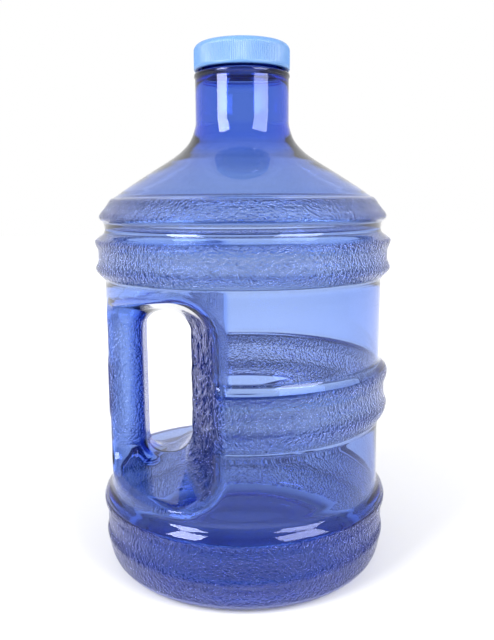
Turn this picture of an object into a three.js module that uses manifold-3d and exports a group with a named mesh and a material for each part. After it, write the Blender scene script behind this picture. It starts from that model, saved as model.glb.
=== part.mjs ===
// A large drinking-water jug: a blow-moulded bottle with a grip formed in its side, a screw
// cap and the cap's sealing disc. Millimetres, +Z up. The origin is the centre of the ring
// that the jug stands on. The grip is on the -X side.

import * as THREE from 'three';
import { mergeVertices } from 'three/addons/utils/BufferGeometryUtils.js';
import Module from 'manifold-3d';

const wasm = await Module();
wasm.setup();

// Bottle
const wallRadius = 80;             // outside of the plain wall
const wallThickness = 1.6;
const footInner = 66;              // the flat ring that the jug stands on
const footOuter = 73.8;
const pushUpHeight = 9;            // hollow under the base
const footThickness = 2.6;
const bandCrest = 85;              // crests of the raised bands
const bandPanel = 83.3;            // shallow panel between two crests
const waistRadius = 79.3;          // groove above the shoulder band
const beadRadius = 82.3;           // bead above that groove
const coneFoot = { radius: 74.6, height: 214.9 };
const coneTop = { radius: 45.6, height: 233.5 };
const neckRadius = 26.5;
const neckFoot = 257;
const neckTop = 281;
const neckWall = 3;

// Screw finish on the neck, and the cap that fits it
const lipRadius = 27;
const finishFoot = 283.6;
const finishRadius = 22.8;
const rimHeight = 295.6;
const boreRadius = 20.3;
const boreOvershoot = 5;           // how far the bore's cutter runs past the rim
const threadLead = 4.233;          // six turns to the inch, single start, right-hand
const threadBead = 0.9;
const threadDepth = 0.3;           // how far a thread's centre stands off its wall
const threadSides = 6;
const threadStepsPerTurn = 32;
const neckThread = { start: 288.2, turns: 1.3 };
const capThread = { start: 286.3, turns: 1.2 };   // just under the neck's thread when closed
const capRadius = 27;
const capBottom = 285.1;
const capTop = 299.4;
const capCorner = 4;
const capRoof = 2;
const capBore = 24.5;
const linerRadius = 23.9;
const gap = 0.3;                   // clearance between pieces that rest on each other

// Grip, and the pocket behind it that the fingers go through
const gripOuter = 81;              // before it is trimmed to the round of the wall
const gripInner = 59;
const gripHalfWidth = 16;
const gripEdge = 7;
const gripWall = 1.8;
const gripRoot = 12;               // how far each end of the bar runs into the bottle
const trimReach = 36;              // how far the wall that trims the grip runs past the slot
const slotRight = -32;
const slotBottom = 61;
const slotTop = 149.3;
const slotCorner = 13.5;
const pocketReach = 90;            // half length of the pocket's cutter, front to back
const flareDepth = 78;             // distance over which the pocket widens by the next three
const flareSide = 16;
const flareTop = 16;
const flareBottom = 6;

const segments = 48;               // facets round a turned shape
const filletSteps = 5;

const point = (radius, height) => new THREE.Vector2(radius, height);

// Points along a cubic curve that starts upright or flat, as a moulded fillet does.
function fillet(start, startPull, endPull, end) {
  return new THREE.CubicBezierCurve(start, startPull, endPull, end).getPoints(filletSteps);
}

// A closed three.js geometry as a solid for the boolean operations.
function toSolid(geometry) {
  geometry.deleteAttribute('normal');
  geometry.deleteAttribute('uv');
  const merged = mergeVertices(geometry, 1e-4);
  return new wasm.Manifold(new wasm.Mesh({
    numProp: 3,
    vertProperties: merged.attributes.position.array,
    triVerts: new Uint32Array(merged.index.array),
  }));
}

function toGeometry(solid) {
  const mesh = solid.getMesh();
  const geometry = new THREE.BufferGeometry();
  geometry.setAttribute('position', new THREE.BufferAttribute(mesh.vertProperties, 3));
  geometry.setIndex(new THREE.BufferAttribute(mesh.triVerts, 1));
  geometry.computeVertexNormals();
  return geometry;
}

// Turns a profile of (radius, height) points round the Z axis.
function turned(profile) {
  return new THREE.LatheGeometry(profile, segments).rotateX(Math.PI / 2);
}

function bottleOutside() {
  const base = [
    point(0, pushUpHeight),
    point(footInner - 10, pushUpHeight - 2),
    point(footInner - 2, 1.5),
    point(footInner, 0),
    point(footOuter, 0),
    point(78.6, 2.8),
    point(81.6, 8),
    point(83.2, 15),
  ];
  const baseBand = [
    point(84.2, 19.5),
    point(bandPanel, 22.5),
    point(bandPanel, 33),
    point(bandCrest, 39.5),
    point(82.2, 45.5),
    point(wallRadius, 52),
  ];
  const middleBand = [
    point(wallRadius, 87),
    point(82.8, 91.2),
    point(bandCrest, 97),
    point(bandPanel, 103),
    point(bandPanel, 110),
    point(bandCrest, 115.5),
    point(82.8, 119.5),
    point(wallRadius, 123.5),
  ];
  const shoulderBand = [
    point(wallRadius, 168.5),
    point(82.8, 172.6),
    point(bandCrest, 176),
    point(bandPanel, 180),
    point(bandPanel, 186),
    point(bandCrest, 191),
    point(81, 194.6),
    point(waistRadius, 198),
    point(beadRadius, 204.5),
    point(77.5, 212),
  ];
  const shoulder = fillet(
    point(coneTop.radius, coneTop.height),
    point(33.5, 241.2),
    point(neckRadius, 247),
    point(neckRadius, neckFoot),
  );
  const neck = [
    point(neckRadius, neckTop),
    point(lipRadius, neckTop + 1),
    point(lipRadius, finishFoot - 0.6),
    point(finishRadius, finishFoot),
    point(finishRadius, rimHeight - 0.6),
    point(finishRadius - 0.6, rimHeight),
    point(0, rimHeight),
  ];
  const cone = [point(coneFoot.radius, coneFoot.height)];
  return turned([...base, ...baseBand, ...middleBand, ...shoulderBand, ...cone, ...shoulder, ...neck]);
}

function bottleInside() {
  const plain = wallRadius - wallThickness;
  const band = bandPanel - wallThickness;
  const floor = [
    point(0, pushUpHeight + footThickness),
    point(footInner - 8, pushUpHeight + footThickness - 2),
    point(footInner, footThickness),
    point(footOuter - 1, footThickness),
    point(79.6, 10),
    point(band, 19),
    point(band, 42),
    point(plain, 50),
  ];
  const middleBand = [
    point(plain, 89),
    point(band, 94),
    point(band, 117),
    point(plain, 122),
  ];
  const shoulderBand = [
    point(plain, 170.5),
    point(band, 175),
    point(band, 190),
    point(waistRadius - wallThickness, 196.5),
    point(beadRadius - wallThickness, 204),
    point(coneFoot.radius - 1.2, coneFoot.height - 1.6),
  ];
  const shoulder = fillet(
    point(coneTop.radius - 1.4, coneTop.height - 2.1),
    point(31.5, 240),
    point(neckRadius - neckWall, 246),
    point(neckRadius - neckWall, neckFoot),
  );
  const bore = [
    point(neckRadius - neckWall, neckTop - 5),
    point(boreRadius, finishFoot + 1),
    point(boreRadius, rimHeight + boreOvershoot),
    point(0, rimHeight + boreOvershoot),
  ];
  return turned([...floor, ...middleBand, ...shoulderBand, ...shoulder, ...bore]);
}

// The pocket that runs through the bottle behind the grip. It widens towards the front and
// the back. `grow` pushes its faces outwards, for the inside of the wall that surrounds it.
function pocket(grow) {
  const right = slotRight + grow;
  const bottom = slotBottom - grow;
  const top = slotTop + grow;
  const corner = slotCorner + grow;
  const outline = new THREE.Shape();
  outline.moveTo(-pocketReach - flareSide, bottom);
  outline.lineTo(right - corner, bottom);
  outline.absarc(right - corner, bottom + corner, corner, -Math.PI / 2, 0);
  outline.absarc(right - corner, top - corner, corner, 0, Math.PI / 2);
  outline.lineTo(-pocketReach - flareSide, top);
  const geometry = new THREE.ExtrudeGeometry(outline, {
    depth: 2 * pocketReach,
    steps: 2,
    curveSegments: 6,
    bevelEnabled: false,
  });
  geometry.translate(0, 0, -pocketReach).rotateX(Math.PI / 2);
  const position = geometry.attributes.position;
  const middle = (bottom + top) / 2;
  for (let i = 0; i < position.count; i += 1) {
    const flare = Math.abs(position.getY(i)) / flareDepth;
    const height = position.getZ(i);
    const share = (height - middle) / (top - middle);
    const rise = share > 0 ? flareTop * share : flareBottom * share;
    position.setX(i, position.getX(i) + flareSide * flare);
    position.setZ(i, height + rise * flare);
  }
  return geometry;
}

// The grip: a bar that bridges the pocket, rounded along its edges, with round inner corners
// where it meets the wall. `inset` makes it smaller on every side, for the hollow inside it.
function grip(inset) {
  const shrink = inset + gripEdge;
  const outer = -gripOuter + shrink;
  const root = -gripInner + slotCorner;
  const corner = slotCorner + shrink;
  const outline = new THREE.Shape();
  outline.moveTo(outer, slotBottom - gripRoot);
  outline.lineTo(root, slotBottom - gripRoot);
  outline.absarc(root, slotBottom + slotCorner, corner, -Math.PI / 2, -Math.PI, true);
  outline.absarc(root, slotTop - slotCorner, corner, Math.PI, Math.PI / 2, true);
  outline.lineTo(root, slotTop + gripRoot);
  outline.lineTo(outer, slotTop + gripRoot);
  const flatHalf = gripHalfWidth - shrink;
  const geometry = new THREE.ExtrudeGeometry(outline, {
    depth: 2 * flatHalf,
    steps: 1,
    curveSegments: 5,
    bevelThickness: gripEdge,
    bevelSize: gripEdge,
    bevelSegments: 3,
  });
  geometry.translate(0, 0, -flatHalf).rotateX(Math.PI / 2);
  const wall = turned([
    point(0, slotBottom - trimReach),
    point(wallRadius - inset, slotBottom - trimReach),
    point(wallRadius - inset, slotTop + trimReach),
    point(0, slotTop + trimReach),
  ]);
  return toSolid(geometry).intersect(toSolid(wall));
}

// A right-hand thread: a round bead along a helix, on a wall of the given radius.
function thread(radius, { start, turns }) {
  class Helix extends THREE.Curve {
    getPoint(t, target = new THREE.Vector3()) {
      const angle = 2 * Math.PI * turns * t;
      return target.set(
        radius * Math.cos(angle),
        radius * Math.sin(angle),
        start + threadLead * turns * t,
      );
    }
  }
  const section = new THREE.Shape();
  section.absarc(0, 0, threadBead, 0, 2 * Math.PI);
  return new THREE.ExtrudeGeometry(section, {
    extrudePath: new Helix(),
    steps: Math.round(threadStepsPerTurn * turns),
    curveSegments: threadSides / 2,
    bevelEnabled: false,
  });
}

function bottle() {
  const finishThread = toSolid(thread(finishRadius + threadDepth, neckThread));
  const outside = toSolid(bottleOutside())
    .subtract(toSolid(pocket(0)))
    .add(grip(0))
    .add(finishThread);
  const inside = toSolid(bottleInside())
    .subtract(toSolid(pocket(wallThickness)))
    .add(grip(gripWall));
  return toGeometry(outside.subtract(inside));
}

function screwCap() {
  const corner = new THREE.Path();
  corner.absarc(capRadius - capCorner, capTop - capCorner, capCorner, 0, Math.PI / 2);
  const shell = turned([
    point(0, capTop - capRoof),
    point(capBore, capTop - capRoof),
    point(capBore, capBottom + 0.8),
    point(capBore + 0.8, capBottom),
    point(capRadius - 0.4, capBottom),
    point(capRadius, capBottom + 0.4),
    ...corner.getPoints(5),
    point(0, capTop),
  ]);
  return toGeometry(toSolid(shell).add(toSolid(thread(capBore - threadDepth, capThread))));
}

function capLiner() {
  return turned([
    point(0, rimHeight + gap),
    point(linerRadius, rimHeight + gap),
    point(linerRadius, capTop - capRoof - gap),
    point(0, capTop - capRoof - gap),
  ]);
}

function piece(name, geometry, color, roughness) {
  const material = new THREE.MeshStandardMaterial({ color, roughness, metalness: 0 });
  const mesh = new THREE.Mesh(geometry, material);
  mesh.name = name;
  return mesh;
}

const jug = new THREE.Group();
jug.add(piece('bottle', bottle(), 0x8fa5e6, 0.08));
jug.add(piece('screw_cap', screwCap(), 0x8fc3ee, 0.45));
jug.add(piece('cap_liner', capLiner(), 0xf2f2ee, 0.8));

export default jug;
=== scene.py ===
"""A large blue water jug: clear blow-moulded bottle, ribbed screw cap and sealing disc.

Shapes are worked out in millimetres, in the CAD frame, and turned into metres when a mesh is made.
"""

import math

import bpy
import numpy as np
from mathutils import Euler, Matrix, Vector


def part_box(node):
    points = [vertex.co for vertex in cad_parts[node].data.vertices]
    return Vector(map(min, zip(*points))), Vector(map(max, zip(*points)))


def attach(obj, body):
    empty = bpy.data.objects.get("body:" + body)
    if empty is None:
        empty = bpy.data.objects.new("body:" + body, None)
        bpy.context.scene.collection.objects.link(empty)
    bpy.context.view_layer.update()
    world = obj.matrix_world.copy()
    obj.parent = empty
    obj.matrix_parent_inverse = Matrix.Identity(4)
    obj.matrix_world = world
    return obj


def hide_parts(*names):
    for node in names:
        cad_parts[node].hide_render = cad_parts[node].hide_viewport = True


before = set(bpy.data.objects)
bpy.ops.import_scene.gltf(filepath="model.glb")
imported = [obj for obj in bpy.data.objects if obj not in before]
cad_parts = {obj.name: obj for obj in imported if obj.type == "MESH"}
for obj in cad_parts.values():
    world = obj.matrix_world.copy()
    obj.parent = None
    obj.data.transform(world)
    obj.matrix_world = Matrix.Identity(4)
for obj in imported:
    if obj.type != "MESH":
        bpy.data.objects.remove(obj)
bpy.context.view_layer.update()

MM = 0.001

# --- Sizes taken from the frame -------------------------------------------------------------

bottle_low, bottle_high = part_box("bottle")
cap_low, cap_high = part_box("screw_cap")
liner_low, liner_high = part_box("cap_liner")

rim_height = bottle_high[2] / MM
cap_bottom = cap_low[2] / MM
cap_top = cap_high[2] / MM
cap_radius = cap_high[0] / MM
liner_radius = liner_high[0] / MM

# --- The bottle's shape, in millimetres -----------------------------------------------------

WALL = 80.0             # radius of the plain wall
CREST = 85.0            # crests of the raised bands
PANEL = 83.3            # shallow panel between two crests
NECK = 26.5
FINISH = 22.8           # wall of the screw finish
BORE = 20.3
THREAD_LEAD = 4.233
THREAD_BEAD = 0.9
THREAD_DEPTH = 0.3      # how far a thread's centre stands off its wall
THREAD_START = 288.2
THREAD_TURNS = 1.3

# (height, radius) along the outside, from the standing ring to the mouth
OUTSIDE = [
    (0, 73.8), (0.8, 75.8), (2, 77.5), (5, 80.4), (10, 82.3), (15, 83.3),
    (19.5, 84.2), (22, PANEL), (33, PANEL), (36, 84.2), (39.5, CREST), (42.5, 84.4), (45, 82.8), (47, 81), (49, 80.2), (52, WALL),
    (86.5, WALL), (89, 81.4), (91.5, 83), (94, 84.3), (97, CREST - 0.1), (100.5, 83.9), (103, PANEL),
    (110, PANEL), (112.5, 84.3), (115.5, CREST), (118, 84.3), (120, 82.6), (121.7, 80.9), (123.3, 80.2), (126, WALL),
    (168, WALL), (170.7, 81), (173, 83.2), (176, CREST), (179, 83.9), (181, PANEL),
    (186, PANEL), (188, 84.1), (191, CREST), (193, 83.6), (194.7, 81), (196.3, 79.6), (198, 79.3),
    (201, 79.9), (204.5, 82.3), (207, 81.2), (209, 79.4), (212, 77.2), (214.8, 75), (215.2, 74.1),
    (219.4, 67.8), (226.5, 56.9), (233.5, 45.6), (236.4, 41), (239.2, 37),
    (242, 33.8), (245, 31.1), (248, 29.2), (252.3, 27.5), (257, NECK),
    (280.6, NECK), (281.6, 27), (282.8, 27), (283.3, 26.7), (283.9, FINISH + 0.2), (284.6, FINISH), (302, FINISH),
]

# (height, radius) along the inside, a wall's thickness further in and smoother
INSIDE = [
    (0, 68), (3, 73.5), (5.5, 76.4), (9, 78.8), (14, 80.2), (19.5, 81.1), (25, 80.7), (33, 80.7), (39.5, 82),
    (44, 80.3), (49, 78.7), (54, 78.2), (86, 78.4), (91.5, 81), (97, 82.8), (106.5, 81.7), (115.5, 82.9),
    (119.5, 81), (124.5, 78.4), (167.5, 78.4), (173, 81.2), (176, 82.8), (183.5, 81.8), (190, 82.8),
    (194, 79.6), (198, 77.7), (204, 80.3), (209, 77.4), (213, 73.9), (215, 71),
    (219.4, 64.6), (226.5, 53.4), (233.5, 41.6), (238, 34.4), (242, 29.8), (246, 26.4), (250, 24.3), (254, 23.2),
    (277, 23.2), (280, 22.4), (284, BORE + 0.2), (286, BORE), (302, BORE),
]

# (radius, height) under the base: the push-up and the standing ring
UNDERSIDE = [(0, 9), (30, 8.7), (48, 7.4), (56, 5.6), (61, 3.2), (64.5, 0.9), (67, 0), (90, 0)]
FLOOR = [(0, 13.3), (30, 13), (48, 11.7), (56, 9.8), (61, 7.3), (65, 4.8), (68, 3.8), (90, 3.8)]

# The pocket that runs through the bottle, and the grip in front of it
SLOT_RIGHT = -32.0
SLOT_BOTTOM = 61.0
SLOT_TOP = 149.3
SLOT_CORNER = 13.5
FLARE_DEPTH = 78.0
FLARE_SIDE = 16.0
FLARE_TOP = 16.0
FLARE_BOTTOM = 6.0
FLARE_CORNER = 8.0
GRIP_INNER = -59.0
GRIP_OUTER = -80.4
GRIP_HALF = 16.0
GRIP_EDGE = 8.0
GRIP_FILLET = 13.0
MOUTH_ROUND = 4.5       # rounding where the pocket meets the wall
WALL_THICKNESS = 1.6    # twice that on the pocket's side wall
GRIP_THICKNESS = 2.0    # half as much again on the fingers' side
PEBBLE_SIZE = 2.2
PEBBLE_RELIEF = 1.0


def smooth_curve(knots):
    """A curve through the knots that never overshoots them, and its slope."""
    x, y = (np.array(column, dtype=float) for column in zip(*knots))
    step = np.diff(x)
    rise = np.diff(y) / step
    slope = np.zeros_like(y)
    same = rise[1:] * rise[:-1] > 0
    left = 2 * step[1:] + step[:-1]
    right = step[1:] + 2 * step[:-1]
    with np.errstate(divide="ignore", invalid="ignore"):
        mean = (left + right) / (left / rise[:-1] + right / rise[1:])
    slope[1:-1][same] = mean[same]

    def at(points):
        points = np.clip(points, x[0], x[-1])
        k = np.clip(np.searchsorted(x, points) - 1, 0, len(x) - 2)
        t = (points - x[k]) / step[k]
        a = y[k]
        b = step[k] * slope[k]
        c = 3 * (y[k + 1] - y[k]) - step[k] * (2 * slope[k] + slope[k + 1])
        d = step[k] * (slope[k] + slope[k + 1]) - 2 * (y[k + 1] - y[k])
        value = a + t * (b + t * (c + t * d))
        return value, (b + t * (2 * c + 3 * d * t)) / step[k]

    return at


def smooth_max(a, b, width):
    """The larger of a and b, rounded where they cross."""
    h = np.maximum(width - np.abs(a - b), 0) / width
    return np.maximum(a, b) + h * h * width * 0.25


def smooth_min(a, b, width):
    return -smooth_max(-a, -b, width)


def steps(*spans):
    """Grid lines: each span is (start, end, largest step)."""
    lines = []
    for start, end, step in spans:
        count = math.ceil((end - start) / step)
        lines.extend(np.linspace(start, end, count, endpoint=False))
    lines.append(spans[-1][1])
    return np.array(lines)


outside_curve = smooth_curve(OUTSIDE)
inside_curve = smooth_curve(INSIDE)
underside_curve = smooth_curve(UNDERSIDE)
floor_curve = smooth_curve(FLOOR)


def turned_distance(r, z, side_curve, end_curve):
    """Distance to a turned shape: its side, and the surface that closes it below."""
    radius, lean = side_curve(z)
    low, fall = end_curve(r)
    side = (r - radius) / np.sqrt(1 + lean**2)
    end = (low - z) / np.sqrt(1 + fall**2)
    return smooth_max(side, end, 1.2)


def pocket_distance(x, y, z, grow):
    """Distance to the pocket: a rounded slot that widens towards the front and the back."""
    flare = np.abs(y) / FLARE_DEPTH
    right = SLOT_RIGHT + FLARE_SIDE * flare + 2 * grow
    top = SLOT_TOP + FLARE_TOP * flare + grow
    bottom = SLOT_BOTTOM - FLARE_BOTTOM * flare - grow
    corner = SLOT_CORNER + FLARE_CORNER * flare + grow
    past_side = x - right + corner
    past_end = np.abs(z - (top + bottom) / 2) - (top - bottom) / 2 + corner
    return np.hypot(np.maximum(past_side, 0), np.maximum(past_end, 0)) + np.minimum(
        np.maximum(past_side, past_end), 0
    ) - corner


def grip_distance(x, y, shrink):
    """Distance to the upright bar that the hand closes round, in plan."""
    edge = GRIP_EDGE - shrink / 2
    inner = GRIP_INNER - shrink / 2
    middle = (inner + GRIP_OUTER) / 2
    half = (inner - GRIP_OUTER) / 2 - shrink
    past_x = np.abs(x - middle) - half + edge
    past_y = np.abs(y) - GRIP_HALF + shrink + edge
    return np.hypot(np.maximum(past_x, 0), np.maximum(past_y, 0)) + np.minimum(
        np.maximum(past_x, past_y), 0
    ) - edge


def thread_distance(angle, r, z):
    """Distance to the thread: a round bead along a helix, tapering into the wall at each end."""
    nearest = np.round((z - THREAD_START) / THREAD_LEAD - angle / (2 * math.pi))
    turn = np.clip(nearest + angle / (2 * math.pi), 0, THREAD_TURNS)
    off = np.abs(nearest + angle / (2 * math.pi) - turn) * 2 * math.pi * FINISH
    ending = np.clip(np.minimum(turn, THREAD_TURNS - turn) / 0.08, 0, 1)
    centre = FINISH + THREAD_DEPTH - 1.2 * (1 - ending)
    along = np.sqrt((r - centre) ** 2 + (z - THREAD_START - THREAD_LEAD * turn) ** 2 + off**2)
    return along - THREAD_BEAD


def shell_distance(angle, r, z, side_curve, end_curve, thickness, grip_thickness):
    """Distance to the whole outer skin, or to the inner one when the thicknesses are given."""
    x = r * np.cos(angle)
    y = r * np.sin(angle)
    turned = turned_distance(r, z, side_curve, end_curve)
    pocket = pocket_distance(x, y, z, thickness)
    bar = grip_distance(x, y, grip_thickness)
    cut = smooth_max(turned, -pocket, MOUTH_ROUND)
    ends = np.abs(z - (SLOT_TOP + SLOT_BOTTOM) / 2) - (SLOT_TOP - SLOT_BOTTOM) / 2 - 10
    bar = np.maximum(bar, ends)
    joined = smooth_min(cut, bar, GRIP_FILLET)
    return np.maximum(joined, turned)


def outer_distance(angle, r, z):
    body = shell_distance(angle, r, z, outside_curve, underside_curve, 0.0, 0.0)
    return smooth_min(body, thread_distance(angle, r, z), 0.3)


def inner_distance(angle, r, z):
    return shell_distance(angle, r, z, inside_curve, floor_curve, WALL_THICKNESS, GRIP_THICKNESS)


# --- Meshing --------------------------------------------------------------------------------

FIRST_TURN = -95        # degrees: where the grid round the axis starts
CORNERS = [(i, j, k) for i in (0, 1) for j in (0, 1) for k in (0, 1)]


def crossings(values, cell, axis):
    """Where the surface cuts the four edges of each cell along one axis, summed, and how often."""
    total = np.zeros((len(cell[0]), 3))
    count = np.zeros(len(cell[0]))
    others = [a for a in range(3) if a != axis]
    for first in (0, 1):
        for second in (0, 1):
            offset = [0, 0, 0]
            offset[others[0]] = first
            offset[others[1]] = second
            here = corner_values(values, cell, offset)
            offset[axis] = 1
            there = corner_values(values, cell, offset)
            cut = (here < 0) != (there < 0)
            share = here / np.where(cut, here - there, 1)
            spot = np.tile(np.array(offset, dtype=float), (len(cut), 1))
            spot[:, axis] = share
            total[cut] += spot[cut]
            count[cut] += 1
    return total, count


def corner_values(values, cell, offset):
    turn = (cell[0] + offset[0]) % values.shape[0]
    return values[turn, cell[1] + offset[1], cell[2] + offset[2]]


def net_surface(values):
    """Vertices (in grid steps) and outward quads of the surface where values change sign.

    The first axis goes right round. The second starts at the middle, where a fan closes the hole.
    """
    inside = values < 0
    count = np.zeros((values.shape[0], values.shape[1] - 1, values.shape[2] - 1), dtype=np.int8)
    for i, j, k in CORNERS:
        turned = np.roll(inside, -i, axis=0)
        count += turned[:, j : j + count.shape[1], k : k + count.shape[2]]
    cell = np.nonzero((count > 0) & (count < 8))
    number = np.full(count.shape, -1)
    number[cell] = np.arange(len(cell[0]))
    total = np.zeros((len(cell[0]), 3))
    hits = np.zeros(len(cell[0]))
    for axis in range(3):
        part, part_hits = crossings(values, cell, axis)
        total += part
        hits += part_hits
    spots = np.stack(cell, axis=1) + total / hits[:, None]

    quads = []
    back = np.roll(number, 1, axis=0)
    along_r = inside[:, :-1, 1:-1] != inside[:, 1:, 1:-1]
    at = np.nonzero(along_r)
    ring = [back[:, :, :-1][at], number[:, :, :-1][at], number[:, :, 1:][at], back[:, :, 1:][at]]
    quads.append(facing(ring, inside[:, :-1, 1:-1][at]))
    along_z = inside[:, 1:-1, :-1] != inside[:, 1:-1, 1:]
    at = np.nonzero(along_z)
    ring = [back[:, :-1][at], back[:, 1:][at], number[:, 1:][at], number[:, :-1][at]]
    quads.append(facing(ring, inside[:, 1:-1, :-1][at]))
    ahead = np.roll(inside, -1, axis=0)[:, 1:-1, 1:-1]
    along_turn = inside[:, 1:-1, 1:-1] != ahead
    at = np.nonzero(along_turn)
    ring = [number[:, :-1, :-1][at], number[:, :-1, 1:][at], number[:, 1:, 1:][at], number[:, 1:, :-1][at]]
    quads.append(facing(ring, inside[:, 1:-1, 1:-1][at]))
    faces = [tuple(quad) for group in quads for quad in group.tolist()]

    for k in np.nonzero(inside[0, 0, :-1] != inside[0, 0, 1:])[0]:
        ring = number[:, 0, k]
        middle = len(spots)
        height = spots[ring][:, 2].mean()
        spots = np.vstack([spots, [0, 0, height]])
        pairs = zip(ring.tolist(), np.roll(ring, -1).tolist())
        upward = bool(inside[0, 0, k])
        faces += [(middle, a, b) if upward else (middle, b, a) for a, b in pairs]
    return spots, faces


def facing(ring, filled_first):
    """Quads of the four cells round an edge, turned so that they face out of the solid."""
    quads = np.stack(ring, axis=1)
    quads[~filled_first] = quads[~filled_first][:, ::-1]
    return quads


def grid_values(distance, turns, radii, heights):
    angle, r, z = np.meshgrid(turns, radii, heights, indexing="ij", sparse=True)
    return np.broadcast_to(distance(angle, r, z), (len(turns), len(radii), len(heights)))


def slope_at(distance, points):
    """How fast the distance grows along X, Y and Z."""
    slope = np.empty_like(points)
    for axis in range(3):
        nudge = np.zeros(3)
        nudge[axis] = 0.02
        ahead = distance(*to_turned(points + nudge))
        behind = distance(*to_turned(points - nudge))
        slope[:, axis] = (ahead - behind) / 0.04
    return slope


def settle(distance, points):
    """Moves points onto the surface, along the distance's slope."""
    for _ in range(5):
        value = distance(*to_turned(points))
        slope = slope_at(distance, points)
        steep = np.maximum((slope**2).sum(axis=1), 0.3)
        move = -(value / steep)[:, None] * slope
        length = np.maximum(np.linalg.norm(move, axis=1, keepdims=True), 1e-9)
        points = points + move * np.minimum(1, 0.6 / length)
    return points


def to_turned(points):
    return np.arctan2(points[:, 1], points[:, 0]), np.hypot(points[:, 0], points[:, 1]), points[:, 2]


def skin(distance, turns, radii, heights):
    """The surface of one shape as points in millimetres and faces, open at its top."""
    spots, faces = net_surface(grid_values(distance, turns, radii, heights))
    closing = np.append(turns, turns[0] + 2 * math.pi)
    angle = np.interp(spots[:, 0], np.arange(len(closing)), closing)
    radius = np.interp(spots[:, 1], np.arange(len(radii)), radii)
    height = np.interp(spots[:, 2], np.arange(len(heights)), heights)
    points = np.stack([radius * np.cos(angle), radius * np.sin(angle), height], axis=1)
    return settle(distance, points), faces


def open_loop(points, faces):
    """The points along the open top, in order round the axis."""
    edges = {}
    for face in faces:
        for a, b in zip(face, face[1:] + face[:1]):
            edges[a, b] = 1
    rim = {a for a, b in edges if (b, a) not in edges}
    start = math.radians(FIRST_TURN)
    return sorted(rim, key=lambda i: (math.atan2(points[i][1], points[i][0]) - start) % (2 * math.pi))


def mesh_object(name, points, faces, material):
    mesh = bpy.data.meshes.new(name)
    mesh.from_pydata([tuple(point) for point in (np.asarray(points) * MM)], [], faces)
    mesh.validate()
    mesh.materials.append(material)
    mesh.polygons.foreach_set("use_smooth", [True] * len(mesh.polygons))
    piece = bpy.data.objects.new(name, mesh)
    bpy.context.collection.objects.link(piece)
    return piece


TEXTURED_BANDS = [(5, 42), (88.5, 119), (170.5, 193), (202.5, 215)]
TEXTURED_CRESTS = [20, 39, 96, 115, 175, 190, 205, 213]
CREST_REACH = 3.0
PANEL_TEXTURE = 0.45
GRIP_TEXTURE = 0.16


def band_mask(z):
    """The texture's strength by height: full on the crests, less between them, 0 on the plain wall."""
    mask = np.zeros_like(z)
    for low, high in TEXTURED_BANDS:
        mask = np.maximum(mask, np.clip(np.minimum(z - low, high - z) / 1.2, 0, 1))
    crest = np.zeros_like(z)
    for height in TEXTURED_CRESTS:
        crest = np.maximum(crest, np.exp(-(((z - height) / CREST_REACH) ** 2)))
    return mask * (PANEL_TEXTURE + (1 - PANEL_TEXTURE) * crest)


def pebbles(points):
    """How strongly each point carries the pebbled texture."""
    x, y, z = points.T
    radius = np.hypot(x, y)
    on_wall = np.clip((radius - 79.5) / 1.0, 0, 1)
    on_wall = np.where(z > 200, 1, on_wall)
    bar = grip_distance(x, y, 0.0)
    near_bar = np.clip((2.5 - np.abs(bar)) / 2, 0, 1) * np.clip(np.minimum(z - 71, 149 - z) / 4, 0, 1)
    return np.maximum(np.maximum(band_mask(z) * on_wall, pocket_pebbles(points)), GRIP_TEXTURE * near_bar)


def pocket_pebbles(points):
    """The part of it on the pocket's side wall."""
    x, y, z = points.T
    pocket = pocket_distance(x, y, z, 0.0)
    near_pocket = np.clip((3.5 - np.abs(pocket)) / 2, 0, 1)
    upright = np.clip((x - SLOT_RIGHT + 3) / 3, 0, 1) * np.clip(np.minimum(z - 61, 156 - z) / 6, 0, 1)
    wall_here = np.clip((outside_curve(z)[0] - np.hypot(x, y) - 1.5) / 2, 0, 1)
    front = np.where(y < 0, 1, 0.4)
    return near_pocket * upright * wall_here * front


def lumps(points, size):
    """Smooth random heights from -1 to 1, with lumps about one size across."""
    heights = np.random.default_rng(11).uniform(-1, 1, 8192)
    spot = points / size
    corner = np.floor(spot).astype(np.int64)
    share = spot - corner
    share = share * share * (3 - 2 * share)
    total = np.zeros(len(points))
    for offset in CORNERS:
        x, y, z = (corner + offset).T
        weight = np.prod(np.where(np.array(offset) == 1, share, 1 - share), axis=1)
        total += weight * heights[(x * 73856093 ^ y * 19349663 ^ z * 83492791) % len(heights)]
    return total


def roughened(points):
    """The points, with the pocket's larger pebbles as real relief."""
    strength = pocket_pebbles(points)
    slope = slope_at(outer_distance, points)
    normal = slope / np.maximum(np.linalg.norm(slope, axis=1, keepdims=True), 1e-9)
    height = PEBBLE_RELIEF * strength * (lumps(points, PEBBLE_SIZE) - 1)
    return points + normal * height[:, None]


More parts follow.
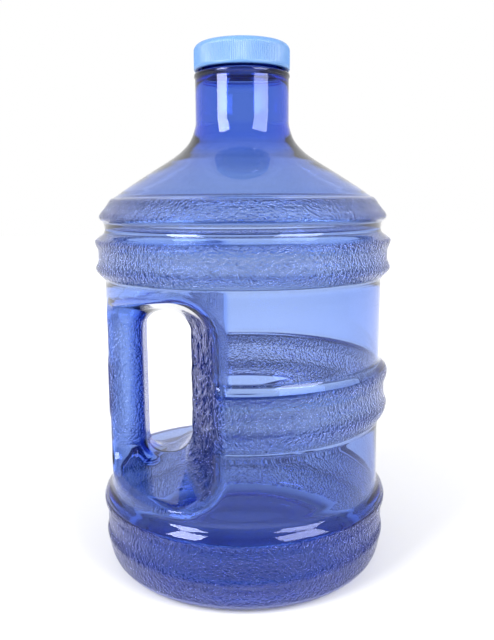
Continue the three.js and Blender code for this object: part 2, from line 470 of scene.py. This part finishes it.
def bottle():
    degree = math.radians(1)
    turns = steps(
        (FIRST_TURN * degree, 95 * degree, 1.8 * degree),
        (95 * degree, 130 * degree, 0.9 * degree),
        (130 * degree, 160 * degree, 1.5 * degree),
        (160 * degree, 200 * degree, 0.9 * degree),
        (200 * degree, 230 * degree, 1.5 * degree),
        (230 * degree, 265 * degree, 0.9 * degree),
    )[:-1]
    radii = steps((0, 90, 1.25))
    lower = [(-2, 18, 1.0), (18, 50, 1.25), (50, 78, 1.25), (78, 86, 2), (86, 125, 1.15), (125, 134, 2.2)]
    upper = [(134, 168, 1.3), (168, 217, 1.05), (217, 257, 1.6)]
    top = rim_height - 0.8
    outer_points, outer_faces = skin(
        outer_distance, turns, radii, steps(*lower, *upper, (257, 279, 2.5), (279, top, 0.55))
    )
    coarse = [(start, end, 1.6 * step) for start, end, step in (*lower, *upper)]
    coarse[2:4] = lower[2:4]
    inner_points, inner_faces = skin(
        inner_distance, turns, radii, steps(*coarse, (257, top, 3))
    )
    mask = pebbles(outer_points)
    outer_points = roughened(outer_points)
    outer_top = open_loop(outer_points, outer_faces)
    inner_top = open_loop(inner_points, inner_faces)
    base = len(outer_points)
    faces = outer_faces + [tuple(reversed([i + base for i in face])) for face in inner_faces]
    points = [outer_points, inner_points]
    total = base + len(inner_points)
    last = outer_top
    for radius, height in (
        (FINISH, rim_height - 0.5),
        (FINISH - 0.15, rim_height - 0.15),
        (FINISH - 0.5, rim_height),
        (BORE + 0.5, rim_height),
        (BORE + 0.15, rim_height - 0.15),
        (BORE, rim_height - 0.5),
    ):
        angles = np.array([math.atan2(outer_points[i][1], outer_points[i][0]) for i in outer_top])
        ring = np.stack([radius * np.cos(angles), radius * np.sin(angles), np.full(len(angles), height)], 1)
        points.append(ring)
        row = list(range(total, total + len(ring)))
        total += len(ring)
        faces += band_between(last, row)
        last = row
    faces += band_between(last, [i + base for i in inner_top])
    points = np.vstack(points)
    piece = mesh_object("jug_bottle", points, faces, bottle_plastic())
    attribute = piece.data.attributes.new("pebbles", "FLOAT", "POINT")
    attribute.data.foreach_set("value", np.pad(mask, (0, total - base)).astype(np.float32))
    return piece


def band_between(lower, upper):
    """Quads between two rings of the same size, facing away from the axis where they rise."""
    count = len(lower)
    if count != len(upper):
        raise ValueError(f"rings of {count} and {len(upper)} points")
    return [(lower[i], lower[(i + 1) % count], upper[(i + 1) % count], upper[i]) for i in range(count)]


# --- Cap and liner --------------------------------------------------------------------------

CAP_RIBS = 144
RIB_DEPTH = 0.28
POINTS_PER_RIB = 6
CAP_ROOF = 2.0
CAP_CORNER = 4.0
CAP_BORE = 24.5
CAP_THREAD_START = 286.3
CAP_THREAD_TURNS = 1.2


def turned_shape(profile, columns, ripple=None):
    """Points and faces of a closed turned shape. Its profile runs from the axis back to the axis."""
    angles = np.arange(columns) * 2 * math.pi / columns
    points = [(0, 0, profile[0][1])]
    faces = []
    rows = []
    for radius, height, share in profile[1:-1]:
        depth = share * RIB_DEPTH * ripple(angles) if ripple else 0 * angles
        rows.append(list(range(len(points), len(points) + columns)))
        points += [((radius - d) * math.cos(a), (radius - d) * math.sin(a), height) for a, d in zip(angles, depth)]
    for lower, upper in zip(rows, rows[1:]):
        faces += band_between(lower, upper)
    first = rows[0]
    last = rows[-1]
    faces += [(0, first[(i + 1) % columns], first[i]) for i in range(columns)]
    points.append((0, 0, profile[-1][1]))
    faces += [(len(points) - 1, last[i], last[(i + 1) % columns]) for i in range(columns)]
    return points, faces


def helix_bead(radius, start, turns):
    """Points and faces of a round bead along a right-hand helix, thin at both ends."""
    sides = 10
    count = round(turns * 60)
    points = []
    for i in range(count + 1):
        turn = turns * i / count
        size = THREAD_BEAD * min(1, 0.15 + 8 * min(turn, turns - turn))
        angle = 2 * math.pi * turn
        for side in range(sides):
            tilt = 2 * math.pi * side / sides
            r = radius + size * math.cos(tilt)
            z = start + THREAD_LEAD * turn + size * math.sin(tilt)
            points.append((r * math.cos(angle), r * math.sin(angle), z))
    rings = [list(range(i * sides, (i + 1) * sides)) for i in range(count + 1)]
    faces = [tuple(rings[0]), tuple(reversed(rings[-1]))]
    for near, far in zip(rings, rings[1:]):
        faces += [tuple(reversed(quad)) for quad in band_between(near, far)]
    return points, faces


def rib_wave(angles):
    """0 on a rib's crest, 1 between two ribs."""
    phase = np.cos(angles * CAP_RIBS)
    return 0.5 - 0.5 * np.clip(phase * 1.6, -1, 1)


def screw_cap():
    roof = cap_top - CAP_ROOF
    corner = [
        (
            cap_radius - CAP_CORNER + CAP_CORNER * math.cos(a),
            cap_top - CAP_CORNER + CAP_CORNER * math.sin(a),
            max(0, 1 - a / 0.5),
        )
        for a in np.linspace(0, math.pi / 2, 10)
    ]
    profile = [
        (0, roof, 0),
        (CAP_BORE - 6, roof, 0),
        (CAP_BORE - 0.6, roof, 0),
        (CAP_BORE, roof - 0.6, 0),
        (CAP_BORE, cap_bottom + 1, 0),
        (CAP_BORE + 0.6, cap_bottom + 0.2, 0),
        (CAP_BORE + 1.0, cap_bottom, 0),
        (cap_radius - 0.7, cap_bottom, 0),
        (cap_radius - 0.2, cap_bottom + 0.2, 0),
        (cap_radius, cap_bottom + 0.7, 0),
        (cap_radius, cap_bottom + 1.6, 0),
        (cap_radius, cap_bottom + 2.0, 1),
        *corner,
        (cap_radius - CAP_CORNER - 2, cap_top, 0),
        (cap_radius - CAP_CORNER - 2.6, cap_top - 0.15, 0),
        (8, cap_top - 0.15, 0),
        (0, cap_top - 0.15, 0),
    ]
    points, faces = turned_shape(profile, CAP_RIBS * POINTS_PER_RIB, rib_wave)
    thread_points, thread_faces = helix_bead(CAP_BORE - THREAD_DEPTH, CAP_THREAD_START, CAP_THREAD_TURNS)
    faces += [tuple(i + len(points) for i in face) for face in thread_faces]
    return mesh_object("screw_cap_ribbed", points + thread_points, faces, cap_plastic())


def sealing_disc():
    low = liner_low[2] / MM
    high = liner_high[2] / MM
    profile = [
        (0, low, 0),
        (15, low, 0),
        (liner_radius - 0.3, low, 0),
        (liner_radius, low + 0.3, 0),
        (liner_radius, high - 0.3, 0),
        (liner_radius - 0.3, high, 0),
        (15, high, 0),
        (0, high, 0),
    ]
    return mesh_object("sealing_disc", *turned_shape(profile, 96), foam())


# --- Materials ------------------------------------------------------------------------------


def new_material(name):
    material = bpy.data.materials.new(name)
    material.use_nodes = True
    nodes = material.node_tree.nodes
    links = material.node_tree.links
    return material, nodes, links, nodes["Principled BSDF"]


def texture_space(nodes):
    return nodes.new("ShaderNodeTexCoord").outputs["Object"]


def noise(nodes, links, scale, detail=2.0, roughness=0.5):
    node = nodes.new("ShaderNodeTexNoise")
    node.inputs["Scale"].default_value = scale
    node.inputs["Detail"].default_value = detail
    node.inputs["Roughness"].default_value = roughness
    links.new(texture_space(nodes), node.inputs["Vector"])
    return node.outputs["Fac"]


def math_node(nodes, links, operation, first, second):
    node = nodes.new("ShaderNodeMath")
    node.operation = operation
    for socket, value in zip(node.inputs, (first, second)):
        if isinstance(value, (int, float)):
            socket.default_value = value
        else:
            links.new(value, socket)
    return node.outputs[0]


def map_range(nodes, links, value, source, target):
    node = nodes.new("ShaderNodeMapRange")
    links.new(value, node.inputs["Value"])
    for name, number in zip(("From Min", "From Max", "To Min", "To Max"), (*source, *target)):
        node.inputs[name].default_value = number
    return node.outputs["Result"]


def bottle_plastic():
    """Clear blue polycarbonate: the tint is in its depth, so thick places look darker."""
    material, nodes, links, shader = new_material("clear_blue_polycarbonate")
    shader.inputs["Base Color"].default_value = (0.88, 0.88, 0.88, 1)
    shader.inputs["Roughness"].default_value = 0.02
    shader.inputs["IOR"].default_value = 1.5
    shader.inputs["Transmission Weight"].default_value = 1.0
    shader.inputs["Specular Tint"].default_value = (0.6, 0.66, 1.0, 1)

    depth = nodes.new("ShaderNodeVolumeAbsorption")
    depth.inputs["Color"].default_value = (0.095, 0.398, 0.934, 1)
    depth.inputs["Density"].default_value = 400
    links.new(depth.outputs[0], nodes["Material Output"].inputs["Volume"])

    mask = nodes.new("ShaderNodeAttribute")
    mask.attribute_name = "pebbles"
    grain = nodes.new("ShaderNodeTexVoronoi")
    grain.feature = "SMOOTH_F1"
    grain.inputs["Scale"].default_value = 640
    grain.inputs["Smoothness"].default_value = 0.6
    links.new(texture_space(nodes), grain.inputs["Vector"])
    rough_grain = math_node(nodes, links, "ADD", grain.outputs["Distance"], noise(nodes, links, 1100, 2))
    relief = math_node(nodes, links, "MULTIPLY", rough_grain, mask.outputs["Fac"])
    bump = nodes.new("ShaderNodeBump")
    bump.inputs["Strength"].default_value = 1.0
    bump.inputs["Distance"].default_value = 0.0034
    links.new(relief, bump.inputs["Height"])
    links.new(bump.outputs["Normal"], shader.inputs["Normal"])
    return material


def cap_plastic():
    material, nodes, links, shader = new_material("light_blue_polypropylene")
    tint = nodes.new("ShaderNodeMix")
    tint.data_type = "RGBA"
    tint.inputs["A"].default_value = (0.075, 0.175, 0.37, 1)
    tint.inputs["B"].default_value = (0.088, 0.195, 0.4, 1)
    links.new(noise(nodes, links, 60, 3), tint.inputs["Factor"])
    links.new(tint.outputs["Result"], shader.inputs["Base Color"])
    shader.inputs["Roughness"].default_value = 0.38
    shader.inputs["Subsurface Weight"].default_value = 0.25
    shader.inputs["Subsurface Radius"].default_value = (0.5, 0.8, 1.0)
    shader.inputs["Subsurface Scale"].default_value = 0.002
    bump = nodes.new("ShaderNodeBump")
    bump.inputs["Distance"].default_value = 0.00002
    links.new(noise(nodes, links, 2500, 2), bump.inputs["Height"])
    links.new(bump.outputs["Normal"], shader.inputs["Normal"])
    return material


def foam():
    material, nodes, links, shader = new_material("white_foam")
    tint = nodes.new("ShaderNodeMix")
    tint.data_type = "RGBA"
    tint.inputs["A"].default_value = (0.78, 0.78, 0.75, 1)
    tint.inputs["B"].default_value = (0.9, 0.9, 0.88, 1)
    links.new(noise(nodes, links, 900, 3), tint.inputs["Factor"])
    links.new(tint.outputs["Result"], shader.inputs["Base Color"])
    shader.inputs["Roughness"].default_value = 0.85
    bump = nodes.new("ShaderNodeBump")
    bump.inputs["Distance"].default_value = 0.0001
    links.new(noise(nodes, links, 1600, 2), bump.inputs["Height"])
    links.new(bump.outputs["Normal"], shader.inputs["Normal"])
    return material


# --- Floor, light and camera ----------------------------------------------------------------

CAMERA_DISTANCE = 0.4128
CAMERA_HEIGHT = 0.2131
CAMERA_TILT = 9.648     # degrees down
CAMERA_YAW = 0.294
CAMERA_ROLL = -0.314
LENS = 39.375
FRONT_LIGHT = 0.6      # how bright the room is on the camera's side, where 1 is the white background
CEILING_LIGHT = 0.9


def floor():
    half = 4.0
    points = [(-half, -half, 0), (half, -half, 0), (half, half, 0), (-half, half, 0)]
    mesh = bpy.data.meshes.new("floor")
    mesh.from_pydata(points, [], [(0, 1, 2, 3)])
    plane = bpy.data.objects.new("floor", mesh)
    bpy.context.collection.objects.link(plane)
    material, nodes, links, shader = new_material("floor_paper_painted_glow")
    shader.inputs["Base Color"].default_value = (0.56, 0.56, 0.57, 1)
    shader.inputs["Roughness"].default_value = 0.9
    shader.inputs["Specular IOR Level"].default_value = 0.1
    # Painted light: the floor glows though it is no lamp. The glow is weakest round the jug and brighter further
    # out, which paints a shade under and around the jug's foot.
    shader.inputs["Emission Color"].default_value = (1, 1, 1, 1)
    distance = nodes.new("ShaderNodeVectorMath")
    distance.operation = "LENGTH"
    links.new(texture_space(nodes), distance.inputs[0])
    painted_floor_glow = map_range(nodes, links, distance.outputs["Value"], (0.1, 0.8), (0.16, 0.6))
    links.new(painted_floor_glow, shader.inputs["Emission Strength"])
    mesh.materials.append(material)


def panel_light(name, azimuth, distance, low, high, width, radiance):
    """A flat softbox. Azimuth is in degrees from the camera's side, positive to the right."""
    light = bpy.data.lights.new(name, "AREA")
    light.shape = "RECTANGLE"
    light.size = width
    light.size_y = high - low
    light.energy = radiance * math.pi * width * (high - low)
    lamp = bpy.data.objects.new(name, light)
    a = math.radians(azimuth)
    lamp.location = (distance * math.sin(a), -distance * math.cos(a), (low + high) / 2)
    target = Vector((0, 0, (low + high) / 2 - 0.25))
    lamp.rotation_euler = (target - lamp.location).to_track_quat("-Z", "Y").to_euler()
    bpy.context.collection.objects.link(lamp)


def studio():
    panel_light("left_softbox", -49, 1.15, 0.40, 1.30, 0.55, 19)
    panel_light("right_softbox", 47, 1.15, 0.40, 1.30, 0.80, 11)
    world = bpy.data.worlds.new("studio")
    bpy.context.scene.world = world
    world.use_nodes = True
    nodes = world.node_tree.nodes
    links = world.node_tree.links
    parts = nodes.new("ShaderNodeSeparateXYZ")
    links.new(nodes.new("ShaderNodeTexCoord").outputs["Generated"], parts.inputs[0])
    front = map_range(nodes, links, parts.outputs["Y"], (-0.55, -0.1), (FRONT_LIGHT, 1))
    ceiling = map_range(nodes, links, parts.outputs["Z"], (0.6, 0.85), (1, CEILING_LIGHT))
    room = math_node(nodes, links, "MULTIPLY", front, ceiling)
    seen_directly = nodes.new("ShaderNodeLightPath").outputs["Is Camera Ray"]
    light = math_node(nodes, links, "MAXIMUM", room, seen_directly)
    links.new(light, nodes["Background"].inputs["Strength"])
    nodes["Background"].inputs["Color"].default_value = (1, 1, 1, 1)
    bpy.context.scene.view_settings.view_transform = "Standard"


def camera():
    data = bpy.data.cameras.new("camera")
    data.lens = LENS
    data.sensor_width = 36
    viewer = bpy.data.objects.new("camera", data)
    aim = Matrix.Rotation(math.radians(-CAMERA_YAW), 4, "Z")
    tilt = Matrix.Rotation(math.radians(90 - CAMERA_TILT), 4, "X")
    roll = Matrix.Rotation(math.radians(CAMERA_ROLL), 4, "Z")
    place = Matrix.Translation((0, -CAMERA_DISTANCE, CAMERA_HEIGHT))
    viewer.matrix_world = place @ aim @ tilt @ roll
    bpy.context.collection.objects.link(viewer)
    bpy.context.scene.camera = viewer


camera()
studio()
floor()

clear_bottle = bottle()
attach(clear_bottle, "bottle_body")
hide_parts("bottle")

cap = screw_cap()
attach(cap, "cap_body")
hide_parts("screw_cap")

disc = sealing_disc()
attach(disc, "liner_body")
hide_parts("cap_liner")
